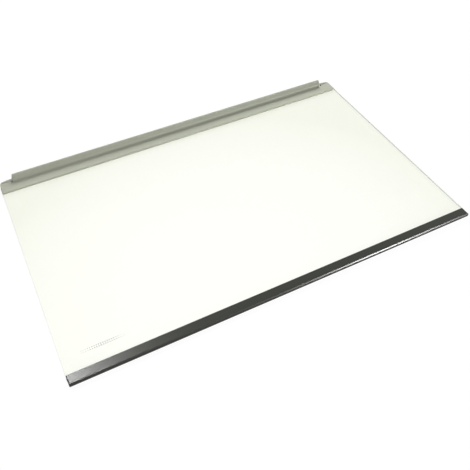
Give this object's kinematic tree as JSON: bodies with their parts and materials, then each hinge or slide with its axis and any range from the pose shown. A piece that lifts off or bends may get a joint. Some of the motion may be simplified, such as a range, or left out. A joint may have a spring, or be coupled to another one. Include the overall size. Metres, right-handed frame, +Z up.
{
  "type": "refrigerator shelf",
  "caption": "Flat glass refrigerator shelf with a dark front trim and a pale grey rear trim whose upright lip stops things sliding off the back.",
  "frame": {"origin": "under the middle of the shelf, on the plane that both trims rest on", "axes": "+X along the shelf to the right, +Y from the front trim to the rear trim, +Z up"},
  "size_m": [0.475, 0.299, 0.0154],
  "materials": {
    "glass": "clear toughened glass with ground edges",
    "front_trim": "graphite plastic, satin roof with a polished bevel",
    "rear_trim": "pale greenish grey plastic, fine matte"
  },
  "bodies": {
    "root": {"glass_panel": "glass", "front_trim": "front_trim", "rear_trim": "rear_trim"}
  },
  "joints": []
}
